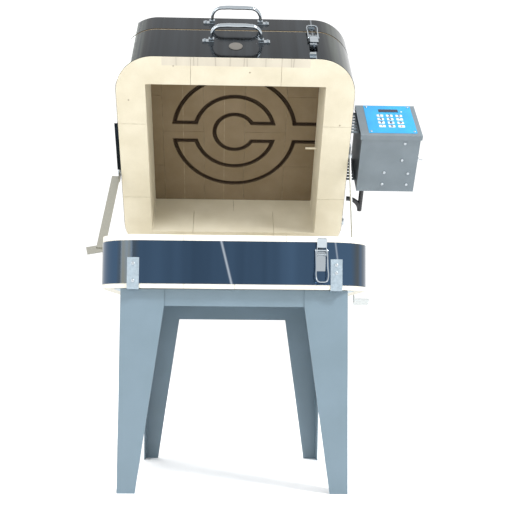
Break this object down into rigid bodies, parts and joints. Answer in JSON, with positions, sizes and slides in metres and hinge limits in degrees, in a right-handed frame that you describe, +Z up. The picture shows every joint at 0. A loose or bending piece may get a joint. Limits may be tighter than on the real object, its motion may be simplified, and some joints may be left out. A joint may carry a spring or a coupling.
{
  "type": "glass kiln",
  "caption": "Clamshell glass fusing kiln on a tapered-leg stand, firebrick ring and lid opened together, coiled lid element, chrome pulls, toggle latches, side control box.",
  "frame": {"origin": "bottom centre of the whole object's box, on the floor", "axes": "+Z up, -Y towards the front where the kiln opens, +X to the control box"},
  "size_m": [0.8894, 0.8304, 1.2166],
  "materials": {
    "stand_paint": "semi-gloss blue-grey paint on sheet steel",
    "galvanised": "galvanised sheet",
    "mirror_steel": "mirror polished stainless sheet",
    "fire_brick": "soft insulating fire brick",
    "lid_brick": "soft insulating fire brick, fired to a tan",
    "chrome": "polished chrome plate",
    "steel_fixings": "zinc plated",
    "bar_steel": "dull plated flat bar",
    "plate": "bare oval plate",
    "element_wire": "oxidised resistance wire",
    "box_paint": "smooth grey paint",
    "overlay": "blue membrane",
    "keys": "white membrane keys",
    "display": "dark display window",
    "board": "circuit board",
    "electrics": "black moulded",
    "ceramic_terminals": "white ceramic",
    "switch_metal": "nickel plate",
    "probe": "ceramic sheath",
    "black_conduit": "black ribbed jacket"
  },
  "bodies": {
    "stand": {"leg_front_right": "stand_paint", "leg_front_left": "stand_paint", "leg_rear_right": "stand_paint", "leg_rear_left": "stand_paint", "apron_front": "stand_paint", "apron_rear": "stand_paint", "aprons_side": "stand_paint", "floor_bars": "stand_paint", "floor_pan": "galvanised", "base_jacket": "mirror_steel", "floor_bricks": "fire_brick", "base_rim_bricks": "fire_brick", "base_straps": "galvanised", "strap_screws": "steel_fixings", "hinge_leaves_base": "galvanised", "hinge_pins_ring": "steel_fixings", "base_latch_plate": "chrome"},
    "ring": {"ring_lower_bricks": "fire_brick", "ring_upper_bricks": "fire_brick", "ring_jacket": "mirror_steel", "ring_handle": "chrome", "ring_handle_feet": "chrome", "blank_plate": "plate", "hinge_leaves_ring": "galvanised", "hinge_pins_lid": "steel_fixings", "lid_latch_plate": "chrome", "base_latch_catch": "chrome", "arm_studs": "steel_fixings", "arm_rail_left": "galvanised", "box_shell": "box_paint", "box_panel": "box_paint", "box_brackets": "box_paint", "box_screws": "steel_fixings", "keypad_overlay": "overlay", "keypad_keys": "keys", "display_window": "display", "controller_board": "board", "relay_and_terminals": "electrics", "switch_body": "switch_metal", "thermocouple": "probe", "thermocouple_block": "steel_fixings", "conduit": "black_conduit", "conduit_nuts": "steel_fixings"},
    "lid": {"lid_bricks": "lid_brick", "lid_jacket": "mirror_steel", "element_coil": "element_wire", "terminal_cover": "box_paint", "tail_terminals": "ceramic_terminals", "hinge_leaves_lid": "galvanised", "lid_handle": "chrome", "lid_handle_feet": "chrome", "lid_latch_catch": "chrome"},
    "lid_lever": {"lid_latch_lever": "chrome"},
    "lid_loop": {"lid_latch_loop": "chrome"},
    "base_lever": {"base_latch_lever": "chrome"},
    "base_loop": {"base_latch_loop": "chrome"},
    "arm_right": {"prop_arm_right": "bar_steel"},
    "arm_left": {"prop_arm_left": "bar_steel"},
    "switch_lever": {"switch_bat": "switch_metal"}
  },
  "joints": [
    {"name": "ring_hinge", "type": "hinge", "parent": "stand", "child": "ring", "pos_m": [-0.06946, 0.24389, 0.5742], "axis": [-1, 0, 0], "range_deg": [-48, 25]},
    {"name": "lid_hinge", "type": "hinge", "parent": "ring", "child": "lid", "pos_m": [-0.06946, 0.36614, 0.68427], "axis": [-1, 0, 0], "range_deg": [0, 60]},
    {"name": "lid_latch_throw", "type": "hinge", "parent": "ring", "child": "lid_lever", "pos_m": [0.13054, -0.09246, 1.12381], "axis": [-1, 0, 0], "range_deg": [0, 150]},
    {"name": "lid_latch_swing", "type": "hinge", "parent": "lid_lever", "child": "lid_loop", "pos_m": [0.13054, -0.09915, 1.11778], "axis": [-1, 0, 0], "range_deg": [-150, 0]},
    {"name": "base_latch_throw", "type": "hinge", "parent": "stand", "child": "base_lever", "pos_m": [0.12354, -0.38961, 0.533], "axis": [1, 0, 0], "range_deg": [0, 150]},
    {"name": "base_latch_swing", "type": "hinge", "parent": "base_lever", "child": "base_loop", "pos_m": [0.12354, -0.39411, 0.54079], "axis": [1, 0, 0], "range_deg": [-315, 0]},
    {"name": "arm_right_swing", "type": "hinge", "parent": "ring", "child": "arm_right", "pos_m": [0.24224, 0.03081, 0.83447], "axis": [1, 0, 0], "range_deg": [-20, 20]},
    {"name": "arm_left_swing", "type": "hinge", "parent": "ring", "child": "arm_left", "pos_m": [-0.38116, 0.07296, 0.78765], "axis": [1, 0, 0], "range_deg": [-25, 25]},
    {"name": "power_switch", "type": "hinge", "parent": "ring", "child": "switch_lever", "pos_m": [0.42754, 0.04761, 0.83076], "axis": [0, 0.6691, -0.7431], "range_deg": [-24, 0]}
  ],
  "couplings": [
    {"joint": "lid_latch_swing", "follows": "lid_latch_throw", "ratio": -1},
    {"joint": "base_latch_swing", "follows": "base_latch_throw", "ratio": -2.1}
  ]
}
